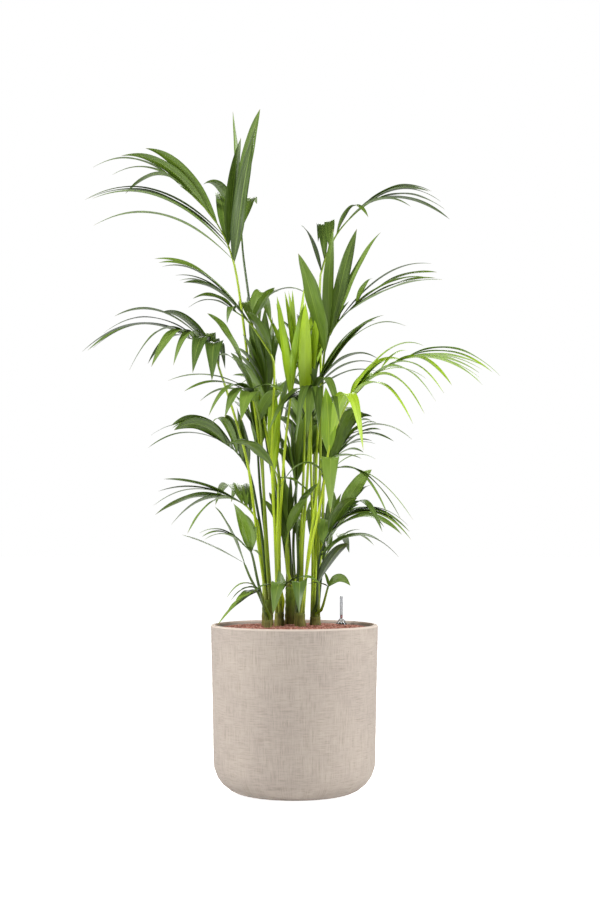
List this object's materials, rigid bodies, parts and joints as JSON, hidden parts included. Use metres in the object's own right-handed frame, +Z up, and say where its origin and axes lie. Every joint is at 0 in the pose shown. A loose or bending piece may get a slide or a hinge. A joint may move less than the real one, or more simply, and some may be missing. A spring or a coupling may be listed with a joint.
{
  "type": "potted palm",
  "caption": "Bushy feather-leaved palm in a round clay-look planter, topped with clay granules, with a water gauge beside the stems.",
  "frame": {"origin": "centre of the planter's flat underside, on the floor", "axes": "+Z up along the planter's axis, -Y towards the side that the palm is seen from, +X to the right of that view"},
  "size_m": [0.995, 0.68, 1.681],
  "materials": {
    "planter_clay": "matt greige fibre clay with a combed, linen-like hatch and small pits, paler at the lip",
    "clay_granules": "dry, matt reddish-brown expanded clay",
    "culture_pot_plastic": "black moulded plastic",
    "root_ball": "matt dark brown peat and roots",
    "gauge_tube_plastic": "grey plastic tube",
    "gauge_clear": "clear moulded plastic, glossy",
    "gauge_float_red": "red plastic",
    "palm_stem": "brown-green stem with pale leaf scars and dry fibre",
    "palm_leaf": "satin deep green with fine lengthwise veins",
    "palm_leaf_young": "satin fresh yellow-green with fine lengthwise veins"
  },
  "bodies": {
    "root": {"planter": "planter_clay", "fill_granules": "clay_granules", "top_granules": "clay_granules", "culture_pot": "culture_pot_plastic", "root_ball": "root_ball", "gauge_tube": "gauge_tube_plastic", "gauge_cap": "gauge_clear", "palm_1_stem": "palm_stem", "palm_2_stem": "palm_stem", "palm_3_stem": "palm_stem", "palm_4_stem": "palm_stem", "palm_5_stem": "palm_stem", "palm_6_stem": "palm_stem", "palm_7_stem": "palm_stem", "palm_1_frond_a": "palm_leaf", "palm_3_frond_a": "palm_leaf", "palm_5_frond_a": "palm_leaf", "palm_5_frond_b": "palm_leaf", "palm_2_frond_a": "palm_leaf_young", "palm_1_frond_b": "palm_leaf", "palm_2_frond_b": "palm_leaf", "palm_3_frond_b": "palm_leaf", "palm_1_frond_c": "palm_leaf", "palm_1_frond_d": "palm_leaf", "palm_1_frond_e": "palm_leaf", "palm_6_frond_a": "palm_leaf", "palm_6_frond_b": "palm_leaf", "palm_6_frond_c": "palm_leaf", "palm_2_frond_c": "palm_leaf", "palm_4_frond_a": "palm_leaf", "palm_5_frond_c": "palm_leaf", "palm_5_frond_d": "palm_leaf", "palm_4_frond_b": "palm_leaf", "palm_7_frond_a": "palm_leaf", "palm_4_frond_c": "palm_leaf_young", "palm_4_frond_d": "palm_leaf", "palm_3_frond_c": "palm_leaf", "palm_2_frond_d": "palm_leaf", "palm_3_frond_d": "palm_leaf", "palm_7_frond_b": "palm_leaf", "palm_3_frond_e": "palm_leaf", "palm_7_frond_c": "palm_leaf", "palm_3_frond_f": "palm_leaf", "palm_4_frond_e": "palm_leaf_young", "palm_4_frond_f": "palm_leaf", "palm_3_frond_g": "palm_leaf", "palm_7_frond_d": "palm_leaf", "palm_5_frond_e": "palm_leaf", "palm_5_frond_f": "palm_leaf", "palm_2_frond_e": "palm_leaf_young", "palm_1_frond_f": "palm_leaf"},
    "gauge_float": {"gauge_float": "gauge_float_red"}
  },
  "joints": [
    {"name": "float_rise", "type": "slide", "parent": "root", "child": "gauge_float", "axis": [0, 0, 1], "range_m": [0, 0.04]}
  ]
}
